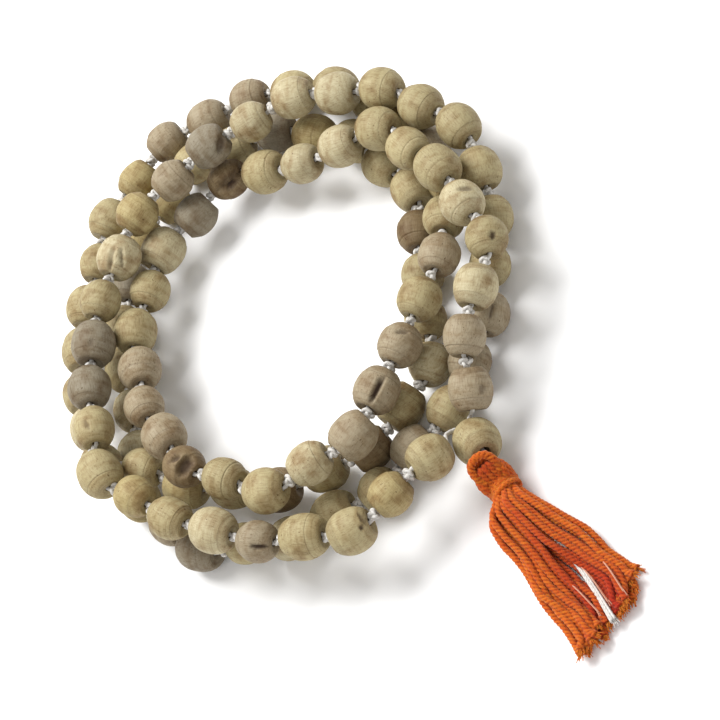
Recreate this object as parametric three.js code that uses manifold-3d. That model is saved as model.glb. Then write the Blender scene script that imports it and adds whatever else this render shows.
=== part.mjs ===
// A knotted mala of 108 turned wooden beads and a guru bead, wound into four rounds and laid on
// a table, with a yarn tassel on the guru bead. Millimetres, +Z up, the table at z = 0.

import * as THREE from "three";
import { mergeVertices } from "three/addons/utils/BufferGeometryUtils.js";
import Module from "manifold-3d";

const wasm = await Module();
wasm.setup();

// Driving dimensions of the strand
const BEAD_COUNT = 108;
const BEAD_RADIUS = 5.05; // to the corners of the eight-sided body
const BEAD_LENGTH = 8.9;
const END_SHARE = 0.55; // an end face's radius against the bead's
const BELT_SHARE = 0.97; // the radius at the edges of the belt round a bead's middle
const BELT_LENGTH_SHARE = 0.4;
const SIZE_SPREAD = 0.05; // the largest and smallest bead differ from the mean by this share
const GURU_SCALE = 1.06;
const BORE_RADIUS = 1;
const PITCH = 11.6; // from one bead's centre to the next
const CORD_RADIUS = 0.45;
const STEM_RADIUS = 1.1; // both ends of the cord together, in the guru bead
const STEM_END = 0.2; // where the stem ends in the guru bead, in half lengths from its middle
const TIE_START = 0.5; // where the tassel's cord starts in it
const GURU_BORE_RADIUS = 1.8;
const BEHIND_GURU = 1.35; // where the cord turns back, in half lengths of the guru bead
const GURU_DETOUR = 3; // the cord's distance from the guru bead on its way behind it
const KNOT_RADIUS = 1.3;
const KNOT_LENGTH = 1.2;
const CLEARANCE = 0.3; // between pieces that touch on the real object
const SIDES = 8;
const CORD_SIDES = 6;

// How the strand is divided: beads modelled one by one on each side of the guru bead, and the
// rest in runs that their own stretch of knotted cord holds together.
const SINGLES_PER_SIDE = 15;
const RUN_LENGTH = 6;

// Driving dimensions of the tassel. Distances run along it from the head's start, and distances
// aside are to the left of that as the tassel points.
const TASSEL_HEADING = new THREE.Vector3(-0.16, -0.99, 0).normalize();
const GURU_TILT = 0.3; // rise of the guru bead's bore towards the tassel
const TASSEL_GAP = 1.5; // from the guru bead's face to the tassel's head
const TASSEL_ASIDE = -2; // the head's middle from the guru bead's bore
const TIE_SAG = 0.4; // how far the tassel's cord drops before it meets the head
const TIE_ASIDE = -0.5; // and how far it goes aside
const AXIS_HEIGHT = 4.5; // of the neck's axis over the table
const HEAD_LENGTH = 5.8;
const BINDING_LENGTH = 2.8;
const BINDING_RADIUS = 3.6;
const NECK_RADIUS = 2.6;
const SKIRT_THICKNESS = 7;
const SKIRT_UNDERSIDE = 0.05; // over the table
const TAIL_RADIUS = 0.9;

// The folded head's sections, as distance, height of the middle and radius.
const HEAD_SECTIONS = [
  [0, 8.2, 2.4],
  [2.6, 7.2, 4],
  [HEAD_LENGTH, AXIS_HEIGHT, NECK_RADIUS],
  [HEAD_LENGTH + BINDING_LENGTH, AXIS_HEIGHT, NECK_RADIUS],
];

// The fan of loose yarns seen from above, as distance aside and distance from the neck's end.
const SKIRT_OUTLINE = [
  [-3.6, 0], [3.6, 0], [5.6, 8], [8.4, 19], [8.8, 26], [12.6, 31.5], [8.8, 39.5],
  [-3, 40.5], [-9.4, 41.8], [-10.6, 36], [-8.4, 24], [-8.8, 4],
];

// The cord tails' route over the skirt, as distance aside and distance.
const TAIL_ROUTE = [[0.5, 14], [2.2, 22], [2.6, 30], [1.8, 38], [0.6, 47]];

// The strand's route as it lies, one point for every second bead, from the guru bead round
// counter-clockwise four times: the inner upper round, the outer lower round, the inner lower
// round and the outer upper round.
const ROUTE = [
  [5, -62, 6], [21, -47, 15], [42, -33, 15], [47, -9, 15], [44, 15, 13], [30, 24, 12], [17, 35, 11],
  [-4, 37, 11], [-20, 31, 11], [-34, 11, 13], [-40, -13, 14], [-33, -35, 14], [-12, -44, 13],

  [11, -36, 10], [33, -27, 9], [48, -11, 5], [54, 8, 5], [50, 32, 5], [36, 52, 5], [14, 64, 5],
  [-11, 63, 5], [-31, 50, 5], [-48, 32, 5], [-56, 9, 8], [-46, -14, 6], [-29, -35, 5], [-6, -45, 5],

  [17, -39, 5], [31, -20, 5], [44, -1, 5], [42, 20, 5], [32, 40, 5], [15, 54, 5], [-4, 52, 5],
  [-22, 41, 5], [-35, 24, 5], [-50, 4, 5], [-53, -19, 5], [-38, -40, 5], [-15, -52, 5], [9, -53, 5],
  [31, -43, 5], [47, -26, 6],

  [58, -7, 13], [54, 16, 14], [39, 37, 14], [16, 45, 15], [-6, 47, 14], [-28, 35, 14], [-44, 18, 14],
  [-55, 0, 14], [-51, -21, 15], [-42, -41, 14], [-28, -57, 14], [-4, -60, 13],
];

// Settling: the strand starts on its route and relaxes for this many steps.
const SETTLE_STEPS = 700;
const CLEARING_STEPS = 500; // the last steps, in which nothing but contact and pitch acts
const HOME_PULL = 0.03;
const FALL_PER_STEP = 0.01;
const STIFFNESS = 0.25; // how strongly the strand straightens while it finds its place
const RESTING_STIFFNESS = 0.03;
const PITCH_PULL = 0.3;
const CONTACT_PUSH = 0.45;
const CONTACT_GAP = 0.45;

const WOOD = { color: 0xbfae8c, roughness: 0.75, metalness: 0 };
const COTTON = { color: 0xe8e4da, roughness: 0.9, metalness: 0 };
const YARN = { color: 0xe0661c, roughness: 0.95, metalness: 0 };

// The size of a bead against the mean one, which repeats the same way on every build.
function beadScale(index) {
  if (index === 0) return GURU_SCALE;
  return 1 + SIZE_SPREAD * Math.sin(index * 2.4 + Math.sin(index * 1.7));
}

// Each bead's centre on the route, bead 0 being the guru bead.
function beadHomes() {
  return Array.from({ length: BEAD_COUNT + 1 }, (_, index) => {
    const from = new THREE.Vector3(...ROUTE[Math.floor(index / 2)]);
    const to = new THREE.Vector3(...ROUTE[Math.ceil(index / 2) % ROUTE.length]);
    return from.add(to).multiplyScalar(0.5);
  });
}

// How far bead `a` moves so that it keeps its pitch to its neighbour `b` on the cord.
function pitchMove(a, b) {
  const apart = b.clone().sub(a);
  return apart.multiplyScalar((PITCH_PULL * (apart.length() - PITCH)) / apart.length());
}

// How far bead `a` moves so that it stays clear of a bead `b` that isn't its neighbour.
function contactMove(a, b, least) {
  const apart = a.clone().sub(b);
  const distance = apart.length();
  if (distance >= least) return new THREE.Vector3();
  return apart.multiplyScalar((CONTACT_PUSH * (least - distance)) / distance);
}

// The beads' centres at rest: on their route as nearly as pitch, contact and the table allow.
function settledCentres() {
  const homes = beadHomes();
  const count = homes.length;
  const radii = homes.map((_, index) => BEAD_RADIUS * beadScale(index));
  const floors = radii.map((radius) => radius * Math.cos(Math.PI / SIDES));
  let places = homes.map((home) => home.clone());
  for (let step = 0; step < SETTLE_STEPS; step++) {
    const clearing = step >= SETTLE_STEPS - CLEARING_STEPS;
    const strays = places.map((place, index) => place.clone().sub(homes[index]));
    places = places.map((place, index) => {
      const moved = place.clone();
      if (!clearing) {
        moved.add(homes[index].clone().sub(place).multiplyScalar(HOME_PULL));
        moved.z -= FALL_PER_STEP;
      }
      const next = places[(index + 1) % count];
      const previous = places[(index + count - 1) % count];
      moved.add(pitchMove(place, next)).add(pitchMove(place, previous));
      const strayed = strays[(index + 1) % count].clone().add(strays[(index + count - 1) % count]);
      strayed.multiplyScalar(0.5).sub(strays[index]);
      moved.add(strayed.multiplyScalar(clearing ? RESTING_STIFFNESS : STIFFNESS));
      places.forEach((other, at) => {
        const links = Math.min(Math.abs(at - index), count - Math.abs(at - index));
        if (links < 2) return;
        const least = radii[at] + radii[index] + CONTACT_GAP;
        moved.add(contactMove(place, other, least));
      });
      moved.z = Math.max(moved.z, floors[index]);
      return moved;
    });
  }
  return places;
}

const centres = settledCentres();

// A bead's bore runs along the chord between its two neighbours; the guru bead's points at the
// tassel, a little upwards.
function beadAxis(index) {
  if (index === 0) return TASSEL_HEADING.clone().setZ(GURU_TILT).normalize();
  const next = centres[(index + 1) % centres.length];
  return next.clone().sub(centres[index - 1]).normalize();
}

// A frame whose Y runs along `axis` and whose Z points as nearly up as it can.
function frameAlong(axis, origin) {
  const side = new THREE.Vector3().crossVectors(axis, new THREE.Vector3(0, 0, 1)).normalize();
  const up = new THREE.Vector3().crossVectors(side, axis);
  return new THREE.Matrix4().makeBasis(side, axis, up).setPosition(origin);
}

// A closed geometry as a solid that can be joined and cut.
function solidFrom(geometry) {
  const bare = geometry.index ? geometry.toNonIndexed() : geometry.clone();
  bare.deleteAttribute("normal");
  bare.deleteAttribute("uv");
  const merged = mergeVertices(bare, 1e-4);
  const vertProperties = new Float32Array(merged.attributes.position.array);
  const triVerts = new Uint32Array(merged.index.array);
  return new wasm.Manifold(new wasm.Mesh({ numProp: 3, vertProperties, triVerts }));
}

function geometryFrom(solid) {
  const { vertProperties, triVerts } = solid.getMesh();
  const geometry = new THREE.BufferGeometry();
  geometry.setAttribute("position", new THREE.BufferAttribute(vertProperties, 3));
  geometry.setIndex(new THREE.BufferAttribute(triVerts, 1));
  return geometry;
}

function turned(profile, sides) {
  const points = profile.map(([radius, height]) => new THREE.Vector2(radius, height));
  return new THREE.LatheGeometry(points, sides, Math.PI / sides);
}

// The outline of a turned bead from one end face to the other, flat sides down and up.
function beadOutline(scale) {
  const half = (BEAD_LENGTH * scale) / 2;
  const radius = BEAD_RADIUS * scale;
  return [
    [END_SHARE * radius, -half],
    [BELT_SHARE * radius, -BELT_LENGTH_SHARE * half],
    [BELT_SHARE * radius, BELT_LENGTH_SHARE * half],
    [END_SHARE * radius, half],
  ];
}

function boredBead(scale, bore) {
  const half = (BEAD_LENGTH * scale) / 2;
  return turned([[bore, -half], ...beadOutline(scale), [bore, half], [bore, -half]], SIDES);
}

// The point on a bead's axis where the cord enters (side -1) or leaves (side 1) it.
function mouth(index, side) {
  const half = (BEAD_LENGTH * beadScale(index)) / 2;
  return centres[index].clone().addScaledVector(beadAxis(index), side * half);
}

function tube(points, radius, sides, steps) {
  const section = new THREE.Shape();
  for (let side = 0; side < sides; side++) {
    const angle = (2 * Math.PI * side) / sides;
    section.lineTo(radius * Math.cos(angle), radius * Math.sin(angle));
  }
  const extrudePath = new THREE.CatmullRomCurve3(points, false, "centripetal");
  return new THREE.ExtrudeGeometry(section, { steps, extrudePath, bevelEnabled: false });
}

// The frame of the overhand knot between a bead and the next one.
function knotFrame(index) {
  const link = centres[index + 1].clone().sub(centres[index]).normalize();
  return frameAlong(link, mouth(index, 1).lerp(mouth(index + 1, -1), 0.5));
}

// A closed round body that follows the strand: each ring has a frame, a height along that
// frame's Y and a radius, and the first and last rings are closed by flat ends.
function threaded(rings, sides) {
  const first = rings[0];
  const last = rings.at(-1);
  const all = [{ ...first, radius: 0 }, ...rings, { ...last, radius: 0 }];
  const shape = turned(all.map(({ radius }, order) => [radius, order]), sides);
  const positions = shape.attributes.position;
  const point = new THREE.Vector3();
  for (let vertex = 0; vertex < positions.count; vertex++) {
    point.fromBufferAttribute(positions, vertex);
    const { frame, height } = all[Math.round(point.y)];
    point.setY(height).applyMatrix4(frame);
    positions.setXYZ(vertex, point.x, point.y, point.z);
  }
  return shape;
}

function namedMesh(name, geometry, look) {
  const mesh = new THREE.Mesh(geometry, new THREE.MeshStandardMaterial(look));
  mesh.name = name;
  return mesh;
}

function beadName(index) {
  return "bead_" + String(index).padStart(3, "0");
}

// One bead that spins on the cord through its bore.
function singleBead(index) {
  const mesh = namedMesh(beadName(index), boredBead(beadScale(index), BORE_RADIUS), WOOD);
  mesh.applyMatrix4(frameAlong(beadAxis(index), centres[index]));
  return mesh;
}

// Six beads with the cord and knots that hold them at their spacing. The last knot stops short
// of the next bead.
function strandRun(first, number) {
  const rings = [];
  for (let index = first; index < first + RUN_LENGTH; index++) {
    const bead = frameAlong(beadAxis(index), centres[index]);
    for (const [radius, height] of beadOutline(beadScale(index))) {
      rings.push({ frame: bead, height, radius });
    }
    for (const side of [-1, 1]) {
      rings.push({ frame: knotFrame(index), height: (side * KNOT_LENGTH) / 2, radius: KNOT_RADIUS });
    }
  }
  return namedMesh("strand_run_" + String(number).padStart(2, "0"), threaded(rings, SIDES), WOOD);
}

// The rings of a knot on bare cord.
function knotRings(index) {
  const half = KNOT_LENGTH / 2;
  const outline = [
    [CORD_RADIUS, -half],
    [KNOT_RADIUS, -0.5 * half],
    [KNOT_RADIUS, 0.5 * half],
    [CORD_RADIUS, half],
  ];
  return outline.map(([radius, height]) => ({ frame: knotFrame(index), height, radius }));
}

// A ring of bare cord in a bead's bore, where it enters (side -1) or leaves (side 1).
function mouthRing(index, side) {
  const frame = frameAlong(beadAxis(index), mouth(index, side));
  return { frame, height: 0, radius: CORD_RADIUS };
}

// The cord through the single beads of both sides. It turns back behind the guru bead, and its
// two ends go into that bead's bore together as one stem.
function stringingCord() {
  const firstArriving = BEAD_COUNT - SINGLES_PER_SIDE + 1;
  const rings = [];
  for (let index = firstArriving; index < BEAD_COUNT; index++) {
    rings.push(mouthRing(index, -1), mouthRing(index, 1), ...knotRings(index));
  }
  const behind = mouth(0, -BEHIND_GURU);
  const beside = mouth(BEAD_COUNT, 1).lerp(behind, 0.5).sub(centres[0]);
  beside.setLength(GURU_SCALE * BEAD_RADIUS + GURU_DETOUR).add(centres[0]);
  const besideFrame = frameAlong(behind.clone().sub(mouth(BEAD_COUNT, 1)).normalize(), beside);
  rings.push(mouthRing(BEAD_COUNT, -1), mouthRing(BEAD_COUNT, 1));
  rings.push({ frame: besideFrame, height: 0, radius: CORD_RADIUS });
  const turnFrame = frameAlong(new THREE.Vector3(1, 0, 0), behind);
  rings.push({ frame: turnFrame, height: -CORD_RADIUS, radius: CORD_RADIUS });
  rings.push({ frame: turnFrame, height: CORD_RADIUS, radius: CORD_RADIUS });
  for (let index = 1; index <= SINGLES_PER_SIDE; index++) {
    rings.push(mouthRing(index, -1), mouthRing(index, 1), ...knotRings(index));
  }
  const stem = solidFrom(tube([mouth(0, STEM_END), behind], STEM_RADIUS, CORD_SIDES, 1));
  const solid = stem.add(solidFrom(threaded(rings, CORD_SIDES)));
  return namedMesh("stringing_cord", geometryFrom(solid), COTTON);
}

function guruBead() {
  const mesh = namedMesh("guru_bead", boredBead(GURU_SCALE, GURU_BORE_RADIUS), WOOD);
  mesh.applyMatrix4(frameAlong(beadAxis(0), centres[0]));
  return mesh;
}

// The tassel lies along its heading from a point just outside the guru bead's front face.
const acrossTassel = new THREE.Vector3(0, 0, 1).cross(TASSEL_HEADING);
const tasselStart = mouth(0, 1)
  .addScaledVector(TASSEL_HEADING, TASSEL_GAP)
  .addScaledVector(acrossTassel, TASSEL_ASIDE);

// A place on the tassel's middle line: its distance and its height over the table.
function alongTassel(distance, height) {
  return tasselStart.clone().addScaledVector(TASSEL_HEADING, distance).setZ(height);
}

// The cord that comes out of the guru bead and holds the tassel.
function tieCord() {
  const end = mouth(0, 1)
    .addScaledVector(TASSEL_HEADING, TASSEL_GAP - CLEARANCE)
    .addScaledVector(acrossTassel, TIE_ASIDE);
  end.z -= TIE_SAG;
  const route = [mouth(0, TIE_START), mouth(0, 1), end];
  return namedMesh("tassel_cord", tube(route, CORD_RADIUS, CORD_SIDES, 3), COTTON);
}

// The folded tops of the yarns, with a waist that the binding goes round.
function tasselHead() {
  const rings = HEAD_SECTIONS.map(([distance, height, radius]) => {
    return { frame: frameAlong(TASSEL_HEADING, alongTassel(distance, height)), height: 0, radius };
  });
  return namedMesh("tassel_head", threaded(rings, SIDES), YARN);
}

// The yarn wound round the neck below the head.
function tasselBinding() {
  const inner = NECK_RADIUS + CLEARANCE;
  const outline = [
    [inner, 0],
    [BINDING_RADIUS, 0],
    [BINDING_RADIUS, BINDING_LENGTH - CLEARANCE],
    [inner, BINDING_LENGTH - CLEARANCE],
    [inner, 0],
  ];
  const mesh = namedMesh("tassel_binding", turned(outline, SIDES), YARN);
  mesh.applyMatrix4(frameAlong(TASSEL_HEADING, alongTassel(HEAD_LENGTH + CLEARANCE, AXIS_HEIGHT)));
  return mesh;
}

// The loose yarns as one plain solid that fans out over the table.
function tasselSkirt() {
  const fan = new THREE.Shape(SKIRT_OUTLINE.map(([aside, distance]) => {
    return new THREE.Vector2(-aside, distance);
  }));
  const slab = new THREE.ExtrudeGeometry(fan, { depth: SKIRT_THICKNESS, bevelEnabled: false });
  const start = HEAD_LENGTH + BINDING_LENGTH + CLEARANCE;
  const mesh = namedMesh("tassel_skirt", slab, YARN);
  mesh.applyMatrix4(frameAlong(TASSEL_HEADING, alongTassel(start, SKIRT_UNDERSIDE)));
  return mesh;
}

// The two cut ends of the stringing cord, which lie on the yarns side by side as one ribbon.
function tasselTails() {
  const height = SKIRT_UNDERSIDE + SKIRT_THICKNESS + CLEARANCE + TAIL_RADIUS;
  const route = TAIL_ROUTE.map(([aside, distance]) => {
    return alongTassel(distance, height).addScaledVector(acrossTassel, aside);
  });
  return namedMesh("cord_tails", tube(route, TAIL_RADIUS, CORD_SIDES, 8), COTTON);
}

function mala() {
  const group = new THREE.Group();
  group.add(tieCord(), tasselHead(), tasselBinding(), tasselSkirt(), tasselTails());
  group.add(guruBead(), stringingCord());
  for (let index = 1; index <= SINGLES_PER_SIDE; index++) group.add(singleBead(index));
  const firstOfSecondSide = BEAD_COUNT - SINGLES_PER_SIDE + 1;
  for (let first = SINGLES_PER_SIDE + 1, number = 1; first < firstOfSecondSide; number++) {
    group.add(strandRun(first, number));
    first += RUN_LENGTH;
  }
  for (let index = firstOfSecondSide; index <= BEAD_COUNT; index++) group.add(singleBead(index));
  return group;
}

// The origin is on the table, under the middle of the box round the whole mala.
const object = mala();
object.updateMatrixWorld(true);
const box = new THREE.Box3().setFromObject(object, true);
const middle = box.getCenter(new THREE.Vector3());
object.position.set(-middle.x, -middle.y, -box.min.z);

export default object;
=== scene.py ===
"""A knotted wooden mala coiled in nearly four turns, with an orange yarn tassel, round its frame.

Lengths are in metres in Blender and in millimetres where a name or comment says so.
"""

import math
import random

import bpy
import numpy as np
from mathutils import Matrix, Vector, noise


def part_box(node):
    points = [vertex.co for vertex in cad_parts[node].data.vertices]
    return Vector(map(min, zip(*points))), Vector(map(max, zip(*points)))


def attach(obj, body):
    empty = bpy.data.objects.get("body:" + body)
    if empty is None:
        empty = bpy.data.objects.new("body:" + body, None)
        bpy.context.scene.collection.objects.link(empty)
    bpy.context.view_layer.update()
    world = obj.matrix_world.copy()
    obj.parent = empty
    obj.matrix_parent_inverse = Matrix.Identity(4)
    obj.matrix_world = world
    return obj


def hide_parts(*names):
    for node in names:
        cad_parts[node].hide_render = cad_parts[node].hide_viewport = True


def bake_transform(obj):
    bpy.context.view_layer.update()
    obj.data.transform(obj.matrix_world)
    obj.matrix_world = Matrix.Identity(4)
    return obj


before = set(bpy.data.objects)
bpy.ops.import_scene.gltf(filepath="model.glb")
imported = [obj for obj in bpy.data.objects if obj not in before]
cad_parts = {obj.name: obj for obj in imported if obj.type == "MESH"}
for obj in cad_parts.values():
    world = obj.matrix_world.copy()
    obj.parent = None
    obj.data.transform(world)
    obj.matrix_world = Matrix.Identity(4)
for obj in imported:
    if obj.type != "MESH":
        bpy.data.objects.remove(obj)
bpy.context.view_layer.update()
MM = 0.001

# ---------------------------------------------------------------- the strand, in millimetres

BEAD_COUNT = 108
BEAD_RADIUS = 5.05
BEAD_LENGTH = 8.9
SIZE_SPREAD = 0.05
GURU_SCALE = 1.06
PITCH = 11.6
FRAME_SIDES = 8
SINGLES_PER_SIDE = 15
RUN_LENGTH = 6

# The strand's route, one point for every second bead, as in the frame.
ROUTE = [
    [5, -62, 6], [21, -47, 15], [42, -33, 15], [47, -9, 15], [44, 15, 13], [30, 24, 12], [17, 35, 11],
    [-4, 37, 11], [-20, 31, 11], [-34, 11, 13], [-40, -13, 14], [-33, -35, 14], [-12, -44, 13],

    [11, -36, 10], [33, -27, 9], [48, -11, 5], [54, 8, 5], [50, 32, 5], [36, 52, 5], [14, 64, 5],
    [-11, 63, 5], [-31, 50, 5], [-48, 32, 5], [-56, 9, 8], [-46, -14, 6], [-29, -35, 5], [-6, -45, 5],

    [17, -39, 5], [31, -20, 5], [44, -1, 5], [42, 20, 5], [32, 40, 5], [15, 54, 5], [-4, 52, 5],
    [-22, 41, 5], [-35, 24, 5], [-50, 4, 5], [-53, -19, 5], [-38, -40, 5], [-15, -52, 5], [9, -53, 5],
    [31, -43, 5], [47, -26, 6],

    [58, -7, 13], [54, 16, 14], [39, 37, 14], [16, 45, 15], [-6, 47, 14], [-28, 35, 14], [-44, 18, 14],
    [-55, 0, 14], [-51, -21, 15], [-42, -41, 14], [-28, -57, 14], [-4, -60, 13],
]

# How the beads settle: first pulled to the route and down to the table, then only cleared of each
# other. Pulls and pushes are shares of the error per step, the fall and the gap are in mm.
SETTLE_STEPS = 700
CLEARING_STEPS = 500
HOME_PULL = 0.03
FALL_PER_STEP = 0.01
STIFFNESS = 0.25
RESTING_STIFFNESS = 0.03
PITCH_PULL = 0.3
CONTACT_PUSH = 0.45
CONTACT_GAP = 0.45

TASSEL_HEADING = Vector((-0.16, -0.99, 0)).normalized()
GURU_TILT = 0.3
TASSEL_GAP = 1.5
TASSEL_ASIDE = -2.0
AXIS_HEIGHT = 4.5
HEAD_LENGTH = 4.8
BINDING_LENGTH = 2.8


def bead_scale(index):
    """The size of a bead against the mean one."""
    if index == 0:
        return GURU_SCALE
    return 1 + SIZE_SPREAD * math.sin(index * 2.4 + math.sin(index * 1.7))


SCALES = np.array([bead_scale(index) for index in range(BEAD_COUNT + 1)])


def settled_centres():
    """The beads' centres at rest: on their route as nearly as pitch, contact and table allow."""
    route = np.array(ROUTE, float)
    count = BEAD_COUNT + 1
    order = np.arange(count)
    homes = (route[order // 2] + route[((order + 1) // 2) % len(route)]) / 2
    radii = BEAD_RADIUS * SCALES
    floors = radii * math.cos(math.pi / FRAME_SIDES)
    links = np.abs(order[:, None] - order)
    links = np.minimum(links, count - links)
    least = np.where(links < 2, 0, radii[:, None] + radii + CONTACT_GAP)
    places = homes.copy()
    for step in range(SETTLE_STEPS):
        clearing = step >= SETTLE_STEPS - CLEARING_STEPS
        strays = places - homes
        moved = places.copy()
        if not clearing:
            moved -= strays * HOME_PULL
            moved[:, 2] -= FALL_PER_STEP
        for shift in (-1, 1):
            apart = np.roll(places, shift, axis=0) - places
            length = np.linalg.norm(apart, axis=1)[:, None]
            moved += apart * PITCH_PULL * (length - PITCH) / length
        strayed = (np.roll(strays, 1, axis=0) + np.roll(strays, -1, axis=0)) / 2 - strays
        moved += strayed * (RESTING_STIFFNESS if clearing else STIFFNESS)
        apart = places[:, None] - places[None]
        distance = np.linalg.norm(apart, axis=2)
        push = np.where(distance < least, CONTACT_PUSH * (least - distance), 0)
        moved += (apart * (push / np.maximum(distance, 1e-9))[..., None]).sum(axis=1)
        moved[:, 2] = np.maximum(moved[:, 2], floors)
        places = moved
    return places


def placed_in_frame(centres):
    """The centres moved to the frame's origin, which a single bead's own box shows."""
    low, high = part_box("bead_001")
    shift = np.array((low + high) / 2) / MM - centres[1]
    return [Vector(centre) for centre in centres + shift]


CENTRES = placed_in_frame(settled_centres())


def bead_axis(index):
    if index == 0:
        return Vector((TASSEL_HEADING.x, TASSEL_HEADING.y, GURU_TILT)).normalized()
    return (CENTRES[(index + 1) % len(CENTRES)] - CENTRES[index - 1]).normalized()


def mouth(index, side):
    """Where the cord enters (side -1) or leaves (side 1) a bead."""
    return CENTRES[index] + bead_axis(index) * side * BEAD_LENGTH * SCALES[index] / 2


def frame_along(axis, origin):
    """A matrix whose Z runs along the axis and whose Y points as nearly up as it can."""
    side = axis.cross(Vector((0, 0, 1))).normalized()
    up = side.cross(axis)
    matrix = Matrix((side, up, axis)).transposed().to_4x4()
    matrix.translation = origin
    return matrix


def node_of(index):
    """The frame's node that holds a bead."""
    if index == 0:
        return "guru_bead"
    if index <= SINGLES_PER_SIDE or index > BEAD_COUNT - SINGLES_PER_SIDE:
        return f"bead_{index:03d}"
    return f"strand_run_{(index - SINGLES_PER_SIDE - 1) // RUN_LENGTH + 1:02d}"


def body_of(index):
    node = node_of(index)
    return "strand" if node.startswith("strand_run") else node


# ---------------------------------------------------------------- camera, floor and light

CAMERA_ELEVATION = math.radians(52)
CAMERA_ROLL = math.radians(50)
CAMERA_DISTANCE = 0.75
CAMERA_LENS = 163
CAMERA_TARGET = Vector((0.0015, 0.0104, -0.0059))
FORWARD = Vector((0, math.cos(CAMERA_ELEVATION), -math.sin(CAMERA_ELEVATION)))
LEVEL_RIGHT = Vector((1, 0, 0))
LEVEL_UP = LEVEL_RIGHT.cross(FORWARD)
VIEW_RIGHT = LEVEL_RIGHT * math.cos(CAMERA_ROLL) - LEVEL_UP * math.sin(CAMERA_ROLL)
VIEW_UP = LEVEL_RIGHT * math.sin(CAMERA_ROLL) + LEVEL_UP * math.cos(CAMERA_ROLL)


# The floor lies just under the lowest bead. Each light has a place, a size and a power.
FLOOR_HEIGHT = -0.0003
FLOOR_SIZE = 8
FLOOR_COLOUR = (0.93, 0.93, 0.93, 1)
SKY_STRENGTH = 0.55
KEY_LIGHT = ((-0.06, 0.5, 0.8), 0.55, 12)
FILL_LIGHT = ((-0.5, -0.5, 0.7), 0.9, 2.5)


def add_camera():
    data = bpy.data.cameras.new("camera")
    data.lens = CAMERA_LENS
    data.clip_start = 0.01
    camera = bpy.data.objects.new("camera", data)
    bpy.context.scene.collection.objects.link(camera)
    matrix = Matrix((VIEW_RIGHT, VIEW_UP, -FORWARD)).transposed().to_4x4()
    matrix.translation = CAMERA_TARGET - FORWARD * CAMERA_DISTANCE
    camera.matrix_world = matrix
    bpy.context.scene.camera = camera


def add_area_light(name, place, size, power):
    data = bpy.data.lights.new(name, "AREA")
    data.size = size
    data.energy = power
    light = bpy.data.objects.new(name, data)
    bpy.context.scene.collection.objects.link(light)
    light.location = place
    light.rotation_euler = (-Vector(place)).to_track_quat("-Z", "Y").to_euler()


def add_studio():
    bpy.ops.mesh.primitive_plane_add(size=FLOOR_SIZE, location=(0, 0, FLOOR_HEIGHT))
    floor = bpy.context.object
    floor.name = "studio_floor"
    material = bpy.data.materials.new("studio_floor")
    material.use_nodes = True
    shader = material.node_tree.nodes["Principled BSDF"]
    shader.inputs["Base Color"].default_value = FLOOR_COLOUR
    shader.inputs["Roughness"].default_value = 0.9
    floor.data.materials.append(material)
    world = bpy.data.worlds.new("studio")
    world.use_nodes = True
    world.node_tree.nodes["Background"].inputs["Color"].default_value = (1, 1, 1, 1)
    world.node_tree.nodes["Background"].inputs["Strength"].default_value = SKY_STRENGTH
    bpy.context.scene.world = world
    add_area_light("key", *KEY_LIGHT)
    add_area_light("fill", *FILL_LIGHT)
    bpy.context.scene.view_settings.view_transform = "Standard"


# ---------------------------------------------------------------- node helpers for materials


class Nodes:
    """Short calls for building one material's nodes."""

    def __init__(self, name):
        self.material = bpy.data.materials.new(name)
        self.material.use_nodes = True
        self.tree = self.material.node_tree
        self.shader = self.tree.nodes["Principled BSDF"]

    def add(self, kind, settings=None, **inputs):
        node = self.tree.nodes.new(kind)
        for key, value in (settings or {}).items():
            setattr(node, key, value)
        for key, value in inputs.items():
            self.feed(node.inputs[key.replace("_", " ")], value)
        return node

    def feed(self, socket, value):
        if isinstance(value, bpy.types.NodeSocket):
            self.tree.links.new(value, socket)
        else:
            socket.default_value = value

    def attribute(self, name, output="Fac"):
        node = self.add("ShaderNodeAttribute", {"attribute_name": name})
        return node.outputs[output]

    def scaled(self, vector, scale):
        node = self.add("ShaderNodeMapping", Vector=vector)
        node.inputs["Scale"].default_value = scale
        return node.outputs["Vector"]

    def noise(self, vector, scale, detail=3.0, roughness=0.55):
        node = self.add("ShaderNodeTexNoise", Vector=vector, Scale=scale, Detail=detail)
        node.inputs["Roughness"].default_value = roughness
        return node.outputs["Fac"]

    def math(self, operation, first, second=0.0):
        node = self.add("ShaderNodeMath", {"operation": operation})
        self.feed(node.inputs[0], first)
        self.feed(node.inputs[1], second)
        return node.outputs[0]

    def ramp(self, factor, *stops):
        node = self.add("ShaderNodeValToRGB", Fac=factor)
        elements = node.color_ramp.elements
        while len(elements) < len(stops):
            elements.new(0.5)
        for element, (position, colour) in zip(elements, stops):
            element.position = position
            element.color = (*colour, 1)
        return node.outputs["Color"]

    def mix(self, factor, first, second, blend="MIX"):
        node = self.add("ShaderNodeMix", {"data_type": "RGBA", "blend_type": blend})
        self.feed(node.inputs[0], factor)
        for socket, value in ((node.inputs[6], first), (node.inputs[7], second)):
            if isinstance(value, tuple) and len(value) == 3:
                value = (*value, 1)
            self.feed(socket, value)
        return node.outputs[2]

    def bump(self, height, strength, distance, normal=None):
        node = self.add("ShaderNodeBump", Height=height)
        node.inputs["Strength"].default_value = strength
        node.inputs["Distance"].default_value = distance
        if normal is not None:
            self.feed(node.inputs["Normal"], normal)
        return node.outputs["Normal"]


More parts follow.
